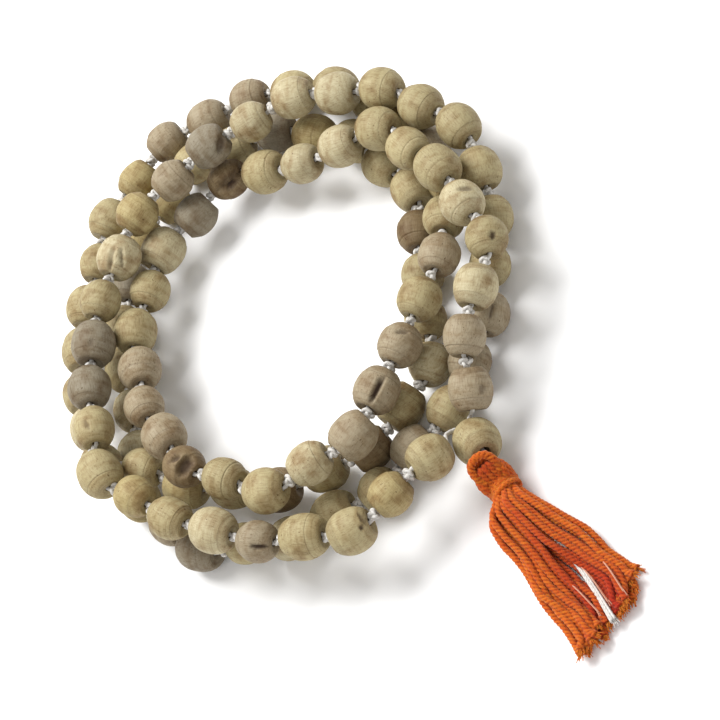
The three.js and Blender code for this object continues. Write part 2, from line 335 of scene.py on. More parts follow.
def wood_material():
    """Unvarnished turned wood. Each bead carries its tint, its grain's place, its flaws with painted shade
    inside them, and a tone that paints shade into its lathe lines, hollowed ends and bore.
    """
    n = Nodes("turned_wood")
    grain = n.attribute("grain", "Vector")
    place = n.attribute("place", "Vector")
    flaw_shade = n.attribute("flaw_shade")
    tint = n.attribute("tint", "Color")

    parts = n.add("ShaderNodeSeparateXYZ", Vector=grain)
    wobble = n.noise(grain, 0.35, 2.0)
    across = n.math("POWER", parts.outputs["X"], 2.0)
    deep = n.math("POWER", parts.outputs["Y"], 2.0)
    from_pith = n.math("SQRT", n.math("ADD", across, deep))
    wavy = n.math("ADD", from_pith, n.math("MULTIPLY", wobble, 2.2))
    rings = n.math("SINE", n.math("MULTIPLY", wavy, 5.2))
    rings = n.math("MULTIPLY_ADD", rings, 0.5)
    rings.node.inputs[2].default_value = 0.5

    fibres = n.noise(n.scaled(grain, (3.4, 3.4, 0.38)), 1.0, 5.0, 0.62)
    blotch = n.noise(grain, 0.22, 3.0)
    pores = n.noise(n.scaled(grain, (5.5, 5.5, 1.1)), 1.0, 2.0)

    base = n.ramp(blotch, (0.3, (0.66, 0.56, 0.46)), (0.5, (1, 1, 1)))
    colour = n.mix(1.0, tint, base, "MULTIPLY")
    streaks = n.ramp(fibres, (0.3, (0.58, 0.5, 0.42)), (0.5, (0.93, 0.9, 0.86)), (0.72, (1, 1, 1)))
    colour = n.mix(0.75, colour, streaks, "MULTIPLY")
    ring_tone = n.ramp(rings, (0.0, (0.78, 0.72, 0.64)), (0.55, (1, 1, 1)))
    colour = n.mix(0.45, colour, ring_tone, "MULTIPLY")
    pore_tone = n.ramp(pores, (0.3, (0.35, 0.26, 0.18)), (0.36, (1, 1, 1)))
    colour = n.mix(0.6, colour, pore_tone, "MULTIPLY")
    turning = n.noise(n.scaled(place, (0.06, 0.06, 3.2)), 1.0, 4.0, 0.7)
    turned = n.ramp(turning, (0.34, (0.68, 0.62, 0.54)), (0.5, (0.97, 0.96, 0.94)), (0.7, (1.0, 1.0, 1.0)))
    colour = n.mix(n.attribute("tint", "Alpha"), colour, turned, "MULTIPLY")
    bands = n.noise(n.scaled(place, (0.1, 0.1, 0.42)), 1.0, 2.0)
    band_tone = n.ramp(bands, (0.36, (0.74, 0.65, 0.54)), (0.47, (1, 1, 1)))
    colour = n.mix(0.6, colour, band_tone, "MULTIPLY")
    specks = n.ramp(n.noise(grain, 1.5, 1.0), (0.235, (0.3, 0.2, 0.12)), (0.285, (1, 1, 1)))
    colour = n.mix(0.75, colour, specks, "MULTIPLY")
    # Painted shade: where the bead's per-vertex tone is below one the wood darkens towards dark brown, in
    # the lathe lines, the hollow of each end and the bore, together with the end grain's own darker tone and
    # the darker band past a shoulder.
    tone_and_shade = n.attribute("tone_and_shade")
    colour = n.mix(n.math("SUBTRACT", 1.0, tone_and_shade), colour, (0.09, 0.055, 0.028))
    # Painted shade inside cracks, pits and chips, near black at the deepest.
    colour = n.mix(n.math("MINIMUM", flaw_shade, 1.0), colour, (0.055, 0.03, 0.016))
    n.feed(n.shader.inputs["Base Color"], colour)

    rough = n.ramp(fibres, (0.3, (0.78, 0.78, 0.78)), (0.7, (0.56, 0.56, 0.56)))
    n.feed(n.shader.inputs["Roughness"], rough)
    n.shader.inputs["Specular IOR Level"].default_value = 0.35
    fine = n.bump(fibres, 0.35, 0.0002)
    lathe = n.bump(turning, 0.3, 0.0002, fine)
    n.feed(n.shader.inputs["Normal"], n.bump(pores, 0.25, 0.0001, lathe))
    return n.material


def yarn_material(name, light, dark, deep, half_shade, full_shade, fibre_strength, bleed=0.0):
    """Twisted yarn: painted shade between its plies, fibres along each ply, and more painted shade where its
    deep attribute says so.
    """
    n = Nodes(name)
    weave = n.attribute("weave", "Vector")
    groove = n.attribute("groove")
    fibres = n.noise(n.scaled(weave, (0.9, 9.0, 1.0)), 1.0, 4.0, 0.7)
    patches = n.noise(n.scaled(weave, (0.12, 0.6, 1.0)), 1.0, 2.0)
    tone_and_shade = n.mix(n.ramp(patches, (0.35, (0, 0, 0)), (0.68, (1, 1, 1))), light, dark)
    # Painted shade: the deep attribute darkens the yarn towards the deep colour.
    tone_and_shade = n.mix(n.attribute("deep"), tone_and_shade, deep)
    # Painted shade between the plies, darker deeper in the groove.
    shade = n.ramp(groove, (0.0, (1, 1, 1)), (0.3, half_shade), (0.85, full_shade))
    tone_and_shade = n.mix(1.0, tone_and_shade, shade, "MULTIPLY")
    hair = n.ramp(fibres, (0.3, (0.72, 0.7, 0.68)), (0.62, (1.0, 1.0, 1.0)))
    tone_and_shade = n.mix(fibre_strength, tone_and_shade, hair, "MULTIPLY")
    n.feed(n.shader.inputs["Base Color"], tone_and_shade)
    n.shader.inputs["Roughness"].default_value = 0.9
    n.shader.inputs["Specular IOR Level"].default_value = 0.2
    n.shader.inputs["Subsurface Weight"].default_value = bleed
    n.shader.inputs["Subsurface Radius"].default_value = (1.0, 0.35, 0.15)
    n.shader.inputs["Subsurface Scale"].default_value = 0.0008
    n.shader.inputs["Sheen Weight"].default_value = 0.1
    n.shader.inputs["Sheen Roughness"].default_value = 0.5
    n.feed(n.shader.inputs["Normal"], n.bump(fibres, 0.6, 0.0002))
    return n.material


WOOD = wood_material()
# In each yarn material the deep colour and the two shades are painted shade.
COTTON = yarn_material(
    "white_cotton", light=(0.82, 0.81, 0.78), dark=(0.7, 0.68, 0.64), deep=(0.6, 0.55, 0.5),
    half_shade=(0.92, 0.91, 0.9), full_shade=(0.68, 0.65, 0.62), fibre_strength=0.5)
ORANGE = yarn_material(
    "orange_yarn", light=(0.71, 0.21, 0.016), dark=(0.6, 0.12, 0.01), deep=(0.44, 0.028, 0.008),
    half_shade=(0.86, 0.74, 0.66), full_shade=(0.5, 0.24, 0.16), fibre_strength=0.5, bleed=0.35)
PALE_THREAD = yarn_material(
    "pale_thread", light=(0.8, 0.47, 0.34), dark=(0.74, 0.34, 0.22), deep=(0.6, 0.3, 0.2),
    half_shade=(0.9, 0.8, 0.76), full_shade=(0.66, 0.48, 0.4), fibre_strength=0.4)


# ---------------------------------------------------------------- meshes


def finish_mesh(name, points, faces, material, attributes=None):
    """A smooth-shaded object from points in millimetres and faces."""
    mesh = bpy.data.meshes.new(name)
    mesh.from_pydata([tuple(c * MM for c in point) for point in points], [], faces)
    for key, (kind, field, values) in (attributes or {}).items():
        layer = mesh.attributes.new(key, kind, "POINT")
        layer.data.foreach_set(field, np.asarray(values, np.float32).ravel())
    mesh.polygons.foreach_set("use_smooth", [True] * len(mesh.polygons))
    mesh.materials.append(material)
    mesh.update()
    obj = bpy.data.objects.new(name, mesh)
    bpy.context.scene.collection.objects.link(obj)
    return obj


# Cracks, pits and chips of single beads: where the flaw's middle lies as the camera sees it, to
# the right and up from the bead's middle in bead radii, its lean in degrees, its half length, half
# width and depth in mm, and how dark the painted shade inside it is.
FLAWS = {
    1: [(0.55, 0.0, 80, 1.3, 0.9, 0.2, 0.5)],
    4: [(0.25, 0.1, 90, 1.2, 0.8, 0.8, 0.8)],
    5: [(0.15, 0.75, 10, 2.0, 0.8, 0.3, 0.6)],
    12: [(0.05, -0.1, 42, 4.2, 2.0, 1.9, 0.45), (0.25, -0.4, 42, 2.6, 0.9, 1.0, 0.95)],
    20: [(0.1, 0.05, 60, 3.0, 2.0, 1.6, 0.75), (-0.5, 0.5, 20, 1.6, 0.8, 0.8, 0.7)],
    25: [(0.0, 0.05, 62, 3.4, 0.75, 1.5, 1.0)],
    26: [(0.1, 0.75, 0, 1.8, 0.6, 0.6, 0.6)],
    63: [(0.0, 0.4, 20, 1.0, 0.4, 0.3, 0.5)],
    82: [(0.1, 0.1, 75, 1.9, 0.5, 0.5, 0.6)],
    92: [(0.75, 0.1, 80, 2.4, 1.1, 0.8, 0.6)],
    95: [(-0.3, -0.05, 80, 3.0, 0.6, 0.7, 0.4), (0.2, 0.0, 92, 2.6, 0.4, 0.6, 0.4)],
    97: [(0.0, 0.1, 70, 1.0, 0.8, 0.2, 0.35)],
    99: [(-0.3, 0.2, 120, 1.6, 0.5, 0.4, 0.45)],
    104: [(0.1, -0.2, 0, 2.4, 0.5, 1.0, 0.95)],
    106: [(0.45, 0.2, 10, 0.6, 0.4, 0.5, 0.8), (0.6, 0.7, 130, 1.6, 0.7, 0.5, 0.5)],
}

WOOD_TINTS = {
    "tan": (0.42, 0.36, 0.2),
    "pale": (0.5, 0.445, 0.285),
    "yellow": (0.425, 0.35, 0.17),
    "pink": (0.35, 0.295, 0.2),
    "grey": (0.25, 0.22, 0.16),
    "brown": (0.23, 0.17, 0.09),
}
SPECIAL_TINTS = {
    2: "pink", 13: "grey", 19: "pink", 17: "pink", 18: "pink", 12: "brown", 20: "brown", 1: "pink",
    92: "grey", 97: "grey", 62: "grey", 57: "brown", 52: "brown", 50: "brown", 81: "pink",
}

SIDE_ROWS = 26
SEGMENTS = 56
VISIBLE_RADIUS = 5.0
VISIBLE_LENGTH = 9.4
BORE = 0.8
GURU_BORE = 1.4

# A lathe line beside each shoulder: its half width as a share of the half length, its depth in mm
# and its tone, which is painted shade in the line's groove.
LINE_HALF_WIDTH = 0.022
LINE_DEPTH = 0.05
LINE_SHADE_TONE = 0.84

# The hollowed end, from the bore to the rim: share of the way out, sink in mm and tone, the end grain's own
# darker tone with painted shade in the hollow.
END_FACE = [(0.0, 0.42, 0.8), (0.2, 0.34, 0.7), (0.35, 0.2, 0.95), (0.6, 0.16, 0.75), (0.8, 0.03, 0.95)]
# The guru bead's rear end is sunk deeper, to clear the two cords that enter it.
GURU_SINK = 2
# What shows of the bore: depth below the bead's end in mm and tone, which is painted shade inside the hole.
BORE_ROWS = [(1.4, 0.3), (0.5, 0.5)]

# Unevenness of a turned bead, in mm: wide and fine, with the hollows kept and the bumps cut off.
# It fades towards the bore.
WIDE_LUMPS = (0.2, 0.24)
FINE_LUMPS = (0.7, 0.05)
HIGHEST_LUMP = 0.03
LUMPS_START = 1.6
LUMPS_FADE = 2


def bead_profile(index, rng):
    """The turned outline as (distance along the axis, radius, tone with painted shade), closed through the
    bore.
    """
    bore_radius = BORE if index else GURU_BORE
    scale = SCALES[index]
    half = VISIBLE_LENGTH * scale / 2
    radius = VISIBLE_RADIUS * scale
    end = rng.uniform(0.42, 0.56)
    bend = math.sqrt(1 - end ** 2)
    fullness = rng.uniform(0.34, 0.46)
    lean = rng.uniform(-0.3, 0.3)
    shoulders = [rng.uniform(0.45, 0.75), -rng.uniform(0.45, 0.75)]
    steps = [rng.choice([0.0, 0.05, 0.1, 0.14]) for _ in shoulders]
    end_tone = rng.uniform(0.82, 1.0)

    def side(t):
        r = radius * (1 - (bend * abs(t)) ** 2) ** fullness * (1 + 0.02 * lean * t)
        tone_and_shade = 1.0
        for shoulder, step in zip(shoulders, steps):
            past = (t - shoulder) * math.copysign(1, shoulder)
            if past > 0:
                r -= step
                tone_and_shade = end_tone
            # Painted shade in the lathe line's groove.
            if abs(past) < LINE_HALF_WIDTH and step:
                r -= LINE_DEPTH
                tone_and_shade = LINE_SHADE_TONE
        return (t * half, r, tone_and_shade)

    rows = {round(-1 + 2 * row / SIDE_ROWS, 4) for row in range(SIDE_ROWS + 1)}
    for shoulder in shoulders:
        rows |= {round(shoulder + shift, 4) for shift in (-0.03, -0.015, 0.015, 0.03)}
    rim = side(1)[1]
    face = [(bore_radius + 0.1 + share * (rim - bore_radius), sink, tone_and_shade)
            for share, sink, tone_and_shade in END_FACE]
    near = [(sink * (1 if index else GURU_SINK) - half, r, tone_and_shade) for r, sink, tone_and_shade in face]
    far = [(half - sink, r, tone_and_shade) for r, sink, tone_and_shade in reversed(face)]
    # Painted shade inside the bore.
    bore = [(half - depth, bore_radius, tone_and_shade) for depth, tone_and_shade in BORE_ROWS]
    return ([(-height, r, tone_and_shade) for height, r, tone_and_shade in bore] + near
            + [side(t) for t in sorted(rows)] + far + list(reversed(bore)))


def flaw_frames(index):
    """Each flaw of a bead as its direction, its two tangents and its sizes."""
    frames = []
    for right, up, lean, half_length, half_width, depth, darkness in FLAWS.get(index, []):
        out = (-FORWARD + VIEW_RIGHT * right + VIEW_UP * up).normalized()
        level = VIEW_RIGHT - out * VIEW_RIGHT.dot(out)
        along = Matrix.Rotation(math.radians(lean), 3, out) @ level.normalized()
        frames.append((out, along, out.cross(along), half_length, half_width, depth, darkness))
    return frames


def bead_tint(index, rng):
    name = SPECIAL_TINTS.get(index)
    if name is None:
        name = rng.choices(["tan", "pale", "yellow", "pink", "grey"], [50, 20, 15, 11, 4])[0]
    shade = rng.uniform(0.93, 1.07)
    return tuple(min(1, c * shade) for c in WOOD_TINTS[name])


def lump(local, radius, seed):
    """How far a point of a bead stands out of its turned outline, in mm."""
    height = 0
    for scale, size in (WIDE_LUMPS, FINE_LUMPS):
        height += noise.noise(local * scale + seed) * size
    return min(HIGHEST_LUMP, height) * min(1, max(0, (radius - LUMPS_START) / LUMPS_FADE))


def add_bead(index):
    """One turned bead with its own outline, grain, tint and flaws."""
    rng = random.Random(1000 + index)
    outline = bead_profile(index, rng)
    place = frame_along(bead_axis(index), CENTRES[index])
    seed = Vector((rng.uniform(-90, 90), rng.uniform(-90, 90), rng.uniform(-90, 90)))
    pith = Vector((rng.uniform(-1.6, 1.6), rng.uniform(-1.6, 1.6), 0))
    tilt = Matrix.Rotation(rng.uniform(-0.35, 0.35), 3, (1, 0, 0))
    frames = flaw_frames(index)
    points, locals_, grains, flaw_shades, tones_and_shades = [], [], [], [], []
    for height, radius, tone_and_shade in outline:
        for segment in range(SEGMENTS):
            angle = 2 * math.pi * segment / SEGMENTS
            local = Vector((radius * math.cos(angle), radius * math.sin(angle), height))
            local += local.normalized() * lump(local, radius, seed)
            point = place @ local
            out = (point - CENTRES[index]).normalized()
            flaw_shade = 0
            for middle, along, over, long_, wide, depth, darkness in frames:
                if out.dot(middle) < 0.2:
                    continue
                u = out.dot(along) * VISIBLE_RADIUS / long_
                v = out.dot(over) * VISIBLE_RADIUS / wide
                ragged = 0.3 * noise.noise(point * 1.4 + seed)
                inside = max(0.0, 1 - (u * u + v * v) * (1 + ragged))
                point = point - out * depth * min(1.0, inside * 1.9)
                # Painted shade inside the dent, strongest at its middle.
                flaw_shade = max(flaw_shade, darkness * min(1, inside * 1.6))
            points.append(point)
            locals_.append(local)
            grains.append(tilt @ (local + pith) + Vector((0, 0, seed.z)))
            flaw_shades.append(flaw_shade)
            tones_and_shades.append(tone_and_shade)
    faces = []
    rows = len(outline)
    for row in range(rows):
        below, above = row * SEGMENTS, ((row + 1) % rows) * SEGMENTS
        for segment in range(SEGMENTS):
            after = (segment + 1) % SEGMENTS
            faces.append((below + segment, below + after, above + after, above + segment))
    tint = (*bead_tint(index, rng), rng.uniform(0.1, 0.85))
    name = "guru_bead_wood" if index == 0 else f"wooden_bead_{index:03d}"
    bead = finish_mesh(name, points, faces, WOOD, {
        "place": ("FLOAT_VECTOR", "vector", locals_),
        "grain": ("FLOAT_VECTOR", "vector", grains),
        "flaw_shade": ("FLOAT", "value", flaw_shades),
        "tone_and_shade": ("FLOAT", "value", tones_and_shades),
        "tint": ("FLOAT_COLOR", "color", [tint] * len(points)),
    })
    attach(bead, body_of(index))
    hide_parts(node_of(index))


def smooth_path(points, step):
    """A Catmull-Rom curve through the points, sampled about every step."""
    points = [Vector(p) for p in points]
    padded = [2 * points[0] - points[1], *points, 2 * points[-1] - points[-2]]
    path = []
    for a, b, c, d in zip(padded, padded[1:], padded[2:], padded[3:]):
        count = max(1, round((c - b).length / step))
        for k in range(count):
            t = k / count
            path.append(0.5 * (2 * b + (c - a) * t + (2 * a - 5 * b + 4 * c - d) * t * t
                               + (3 * b - a - 3 * c + d) * t ** 3))
    path.append(points[-1])
    return path


class Rope:
    """Collects tubes of plied cord or yarn in one mesh."""

    def __init__(self):
        self.points, self.faces, self.weave, self.groove, self.deep = [], [], [], [], []

    def add(self, path, radius, turn_length, sides=12, plies=2, depth=0.42, closed=False, phase=0.0,
            flare=0.0, deep=0.0):
        """A tube along the path. turn_length is one full twist in mm; depth is the groove's.

        deep is how much painted shade the yarn gets, as one number or as one for each end of the path.
        """
        shade_from, shade_to = deep if isinstance(deep, tuple) else (deep, deep)
        start = len(self.points)
        count = len(path)
        tangents = [(path[(i + 1) % count if closed else min(i + 1, count - 1)]
                     - path[(i - 1) % count if closed else max(i - 1, 0)]).normalized()
                    for i in range(count)]
        normal = tangents[0].orthogonal().normalized()
        travelled = 0.0
        for i, (point, tangent) in enumerate(zip(path, tangents)):
            normal = (normal - tangent * normal.dot(tangent)).normalized()
            binormal = tangent.cross(normal)
            if i:
                travelled += (point - path[i - 1]).length
            left = (count - 1 - i) / max(count - 1, 1)
            swell = 1 + flare * max(0, 1 - left * 18)
            for side in range(sides):
                angle = 2 * math.pi * side / sides
                twist = angle + phase + 2 * math.pi * travelled / turn_length
                ridge = abs(math.cos(twist * plies / 2))
                r = radius * swell * (1 - depth * (1 - ridge) ** 1.4)
                self.points.append(point + (normal * math.cos(angle) + binormal * math.sin(angle)) * r)
                self.weave.append((travelled + phase * 40, twist * radius, phase * 7))
                self.groove.append((1 - ridge) ** 1.4)
                # Painted shade, blended from one end of the path to the other.
                self.deep.append(shade_from + (shade_to - shade_from) * i / max(count - 1, 1))
        rings = count if closed else count - 1
        for i in range(rings):
            below, above = start + i * sides, start + ((i + 1) % count) * sides
            for side in range(sides):
                after = (side + 1) % sides
                self.faces.append((below + side, below + after, above + after, above + side))
        if not closed:
            self.faces.append(tuple(reversed(range(start, start + sides))))
            self.faces.append(tuple(range(start + (count - 1) * sides, start + count * sides)))

    def build(self, name, material):
        return finish_mesh(name, self.points, self.faces, material, {
            "weave": ("FLOAT_VECTOR", "vector", self.weave),
            "groove": ("FLOAT", "value", self.groove),
            "deep": ("FLOAT", "value", self.deep),
        })


# ---------------------------------------------------------------- stringing cord and knots

CORD_RADIUS = 0.52
CORD_TWIST = 2.6
KNOT_STEPS = 46
KNOT_CORD_RADIUS = 0.56
KNOT_LENGTH = 0.95
KNOT_WIDTHS = (1.05, 1.3)
# Where the cord turns in behind the guru bead, in half lengths of that bead from its middle.
GURU_ENTRY = -1.35


def knot_path(frame_matrix, length, width, turn, rng):
    """The closed three-lobed path of a tight overhand knot, squashed into the gap."""
    path = []
    stretch = rng.uniform(0.85, 1.1)
    for step in range(KNOT_STEPS):
        t = 2 * math.pi * step / KNOT_STEPS
        x = (math.sin(t) + 2 * math.sin(2 * t)) / 3
        y = (math.cos(t) - 2 * math.cos(2 * t)) / 3
        z = -math.sin(3 * t)
        lobe = Matrix.Rotation(turn, 3, "Z") @ Vector((z * width * 0.55, x * width * stretch, y * length))
        path.append(frame_matrix @ lobe)
    return path


def add_stringing_cord():
    """One cord through all the beads, with a knot in every gap but the two beside the guru bead, as one
    piece.
    """
    rope = Rope()
    rng = random.Random(7)
    for index in range(len(CENTRES)):
        after = (index + 1) % len(CENTRES)
        if index == 0:
            leave, arrive = mouth(0, GURU_ENTRY), mouth(1, -1)
        elif after == 0:
            leave, arrive = mouth(index, 1), mouth(0, GURU_ENTRY)
        else:
            leave, arrive = mouth(index, 1), mouth(after, -1)
        inner_from = leave if index == 0 else mouth(index, 0.55)
        inner_to = arrive if after == 0 else mouth(after, -0.55)
        if after == 0:
            beside = leave.lerp(arrive, 0.5) - CENTRES[0]
            beside = CENTRES[0] + beside.normalized() * (GURU_SCALE * BEAD_RADIUS + 1.6)
            route = [inner_from, leave, beside, arrive, mouth(0, -0.5)]
        elif index == 0:
            route = [mouth(0, -0.5), leave, arrive, inner_to]
        else:
            route = [inner_from, leave, arrive, inner_to]
        rope.add(smooth_path(route, 0.5), CORD_RADIUS, CORD_TWIST, sides=10)
        if index == 0 or after == 0:
            continue
        gap = (arrive - leave).length
        link = frame_along((CENTRES[after] - CENTRES[index]).normalized(), leave.lerp(arrive, 0.5))
        width = rng.uniform(*KNOT_WIDTHS)
        path = knot_path(link, min(KNOT_LENGTH, gap * 0.42), width, rng.uniform(0, 2 * math.pi), rng)
        rope.add(path, KNOT_CORD_RADIUS, CORD_TWIST, sides=10, closed=True)
    cord = rope.build("knotted_cotton_cord", COTTON)
    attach(cord, "strand")
    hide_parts("stringing_cord")


# ---------------------------------------------------------------- tassel

ACROSS = Vector((0, 0, 1)).cross(TASSEL_HEADING)
TASSEL_START = mouth(0, 1) + TASSEL_HEADING * TASSEL_GAP + ACROSS * TASSEL_ASIDE
YARN_RADIUS = 0.74
YARN_TWIST = 3.2
YARN_PLIES = 3
YARN_FLUFF = 1.08
YARN_COUNT = 36
SKIRT_START = HEAD_LENGTH + BINDING_LENGTH
GOLDEN_ANGLE = 2.39996

# The bundle of yarns as it lies: distance from the head's start, the middle's place aside and
# height, and the half width and half height round it.
BUNDLE = np.array([
    [5.8, 0.0, 4.5, 2.0, 2.0],
    [8.2, -0.6, 4.6, 3.0, 2.4],
    [11.5, -2.2, 4.8, 5.5, 3.5],
    [17.0, -1.8, 4.4, 7.1, 3.3],
    [26.0, -0.7, 3.7, 8.0, 2.7],
    [33.0, -0.5, 2.9, 8.3, 2.0],
    [40.0, 0.6, 2.2, 9.6, 1.4],
    [48.0, -0.6, 1.6, 9.6, 0.9],
])


FIRST_STATION = 5.8
LAST_STATION = 48
STATION_COUNT = 26
NECK_HALF_WIDTH = 2.0

# The skirt's parting, in shares of the half width: its middle, and how far the yarns above it move
# to either side. In mm: how deep the yarns sink there, and where along the tassel it starts.
PARTING = 0.1
PARTING_SHIFT = 0.34
PARTING_SINK = 1.6
PARTING_START = 24

# How the yarns settle: shares of the overlap or stray per step, and the fall in mm.
YARN_STEPS = 160
YARN_PUSH = 0.32
YARN_FALL = 0.04
TABLE_GAP = 0.05
ASIDE_KEPT = 0.96
HEIGHT_KEPT = 0.98


def on_tassel(across, along, height):
    """A point of the tassel, in mm: to the side, along it from the head, and over the table."""
    point = TASSEL_START + TASSEL_HEADING * along + ACROSS * across
    return Vector((point.x, point.y, height))


def settled_yarns():
    """Where the loose yarns lie: fanned from the neck, piled on the table, clear of each other."""
    rng = np.random.default_rng(5)
    stations = np.linspace(FIRST_STATION, LAST_STATION, STATION_COUNT)
    aside, rise, wide, tall = (np.interp(stations, BUNDLE[:, 0], column) for column in BUNDLE.T[1:])
    turn = np.arange(YARN_COUNT) * GOLDEN_ANGLE
    reach = np.sqrt((np.arange(YARN_COUNT) + 0.5) / YARN_COUNT)
    side, up = reach * np.cos(turn), reach * np.sin(turn)
    loose = np.clip((stations - 12) / 20, 0, 1)
    wave = rng.uniform(0.2, 0.8, (YARN_COUNT, 1)) * loose
    phase = rng.uniform(0, 2 * np.pi, (YARN_COUNT, 1))
    beat = rng.uniform(0.12, 0.22, (YARN_COUNT, 1))
    valley = np.exp(-((side[:, None] - PARTING) / 0.3) ** 2) * np.clip((stations - PARTING_START) / 10, 0, 1)
    sway = 0.9 * loose * np.sin(0.21 * stations + 2.6 * side[:, None])
    upper = np.where(up > -0.4, np.sign(side - PARTING) * (1 - np.abs(side)), 0)
    opening = np.clip((stations - PARTING_START) / 14, 0, 1)
    parted = side[:, None] + PARTING_SHIFT * upper[:, None] * opening
    across = aside + parted * wide + sway + wave * np.sin(beat * stations + phase)
    height = rise + up[:, None] * tall - PARTING_SINK * valley + 0.5 * wave * np.cos(beat * stations + phase)
    home, level = across.copy(), height.copy()
    least = 2 * YARN_RADIUS * np.interp(stations, [FIRST_STATION, 8.5, 13], [0.55, 0.65, 0.94])
    for _ in range(YARN_STEPS):
        dx = across[:, None] - across[None]
        dz = height[:, None] - height[None]
        distance = np.sqrt(dx * dx + dz * dz) + 1e-6
        push = np.clip(least - distance, 0, None) * YARN_PUSH / distance
        shift = across - home + (dx * push).sum(axis=1)
        lift = height - level + (dz * push).sum(axis=1) - YARN_FALL * loose
        for line in (shift, lift):
            line[:, 1:-1] = 0.4 * line[:, 1:-1] + 0.3 * (line[:, :-2] + line[:, 2:])
        across = home + shift * ASIDE_KEPT
        height = np.maximum(level + lift * HEIGHT_KEPT, YARN_RADIUS + TABLE_GAP)
        across[:, 0] = side * NECK_HALF_WIDTH
        height[:, 0] = AXIS_HEIGHT + up * NECK_HALF_WIDTH
    return stations, across, height, side


def declare_cord(piece):
    """Attach a loose yarn or tail to the tassel's body."""
    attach(piece, "tassel")


FIBRE_RADIUS = 0.1
FIBRE_TWIST = 9
FIBRES_PER_YARN = 14


def fray(rope, path, rng, count):
    """Short loose fibres that spread from the cut end of a yarn."""
    end, before = path[-1], path[-4]
    ahead = (end - before).normalized()
    for _ in range(count):
        spread = Vector((rng.gauss(0, 0.34), rng.gauss(0, 0.34), rng.gauss(0, 0.2)))
        start = end - ahead * 0.5 + spread * 0.5
        tip = end + (ahead + spread) * rng.uniform(0.7, 1.5)
        tip.z = max(tip.z, 0.2)
        rope.add([start, start.lerp(tip, 0.5), tip], FIBRE_RADIUS, FIBRE_TWIST, sides=4, depth=0)


# How much shorter than the longest a yarn is cut, in mm, at places across the skirt from its left
# edge to its right, and the mm that one dropped station takes off.
CUT_PLACES = [0, 0.3, 0.55, 0.8, 1]
CUTS = [0, 0.2, 1.5, 2.5, 6.5]
CUT_SPREAD = 2
CUT_STEP = 1.66


def add_yarns():
    """The skirt: loose yarns, each a piece of its own."""
    stations, across, height, side = settled_yarns()
    rng = random.Random(11)
    for yarn in range(YARN_COUNT):
        points = [on_tassel(*place) for place in zip(across[yarn], stations, height[yarn])]
        share = (side[yarn] + 1) / 2
        cut = np.interp(share, CUT_PLACES, CUTS) + rng.uniform(0, CUT_SPREAD)
        while cut > CUT_STEP:
            points.pop()
            cut -= CUT_STEP
        curl = ACROSS * rng.uniform(-1.6, 1.6) + Vector((0, 0, rng.uniform(0.0, 0.8)))
        points[-1] = points[-1] + curl * 0.7
        path = smooth_path(points, 0.3)
        rope = Rope()
        # Painted shade: yarns near the parting darken towards their cut ends, where they lie low in its
        # valley; each starts with a little at random.
        middle = math.exp(-((side[yarn] - PARTING) / 0.4) ** 2)
        deep = (rng.uniform(0.0, 0.35), min(1, middle + rng.uniform(0, 0.15)))
        rope.add(path, YARN_RADIUS * YARN_FLUFF, YARN_TWIST, sides=15, plies=YARN_PLIES,
                 phase=rng.uniform(0, 6.28), flare=0.2, deep=deep)
        fray(rope, path, rng, FIBRES_PER_YARN)
        piece = rope.build(f"tassel_yarn_{yarn + 1:02d}", ORANGE)
        declare_cord(piece)
        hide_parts("tassel_skirt")
    return stations, across, height


def mirrored(route):
    """The route from its start to the middle line and on to its mirror image."""
    return route + [(-aside, along, height) for aside, along, height in reversed(route)]


# Places on the head are (aside, along, height) in mm. Ridges run over its top and under it, hoops
# round its guru end at four heights. Each hoop is (half width, height, distance along).
RIDGES = (-2.4, -1.2, 0.0, 1.2, 2.4)
HOOPS = ((3.1, 3.3, 0.9), (3.4, 4.9, 0.6), (3.4, 6.5, 0.3), (3.0, 8.1, 0.2))
ARCH = [(-1.9, 4.4, 7.9), (-2.7, 2.4, 9.9), (-2.2, 0.9, 11.3), (-0.8, 0.35, 12.0)]
HEAD_YARN_RADIUS = 0.84
ARCH_RADIUS = 1.0


def add_head():
    """The folded tops of the yarns: an arched lip over a hollow, with painted shade on the yarn ends that
    turn down into it, and ridges down to the neck.
    """
    rope = Rope()
    rng = random.Random(3)

    def lay(route, deep, radius=HEAD_YARN_RADIUS):
        path = smooth_path([on_tassel(*place) for place in route], 0.3)
        rope.add(path, radius, YARN_TWIST, sides=15, plies=YARN_PLIES, depth=0.36,
                 phase=rng.uniform(0, 6.28), deep=deep)

    for aside in RIDGES:
        crown = 0.5 * (1 - (aside / 3) ** 2)
        # Painted shade over the top, from little at the neck end to much where the ridge turns down into the
        # hollow.
        lay([(0.7 * aside, 6.4, 6.2 + crown), (aside, 4.6, 7.4 + crown),
             (1.05 * aside, 3.3, 8.9 + crown), (0.95 * aside, 2.3, 9.8 + crown),
             (0.8 * aside, 1.7, 9.0), (0.6 * aside, 1.5, 7.2)], (0.1, 0.9))
        # Painted shade under the head.
        lay([(0.75 * aside, 6.4, 2.8), (1.25 * aside, 3.9, 1.8 + 0.1 * abs(aside)),
             (1.25 * aside, 1.9, 2.7), (1.1 * aside, 0.8, 4.6), (0.9 * aside, 0.4, 6.8)], 0.4)
    for wide, height, back in HOOPS:
        # Painted shade on the hoops.
        lay(mirrored([(-0.65 * wide, 6.4, 3.2 + 0.3 * height), (-0.98 * wide, 4.4, height),
                      (-wide, 2.7, height + 0.5), (-0.75 * wide, 0.9 + back, height + 1.1),
                      (-0.3 * wide, back, height + 1.6)]), 0.35)
    # Painted shade on the arch.
    lay(mirrored(ARCH), 0.2, ARCH_RADIUS)
    head = rope.build("tassel_head_loops", ORANGE)
    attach(head, "tassel")
    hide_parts("tassel_head")


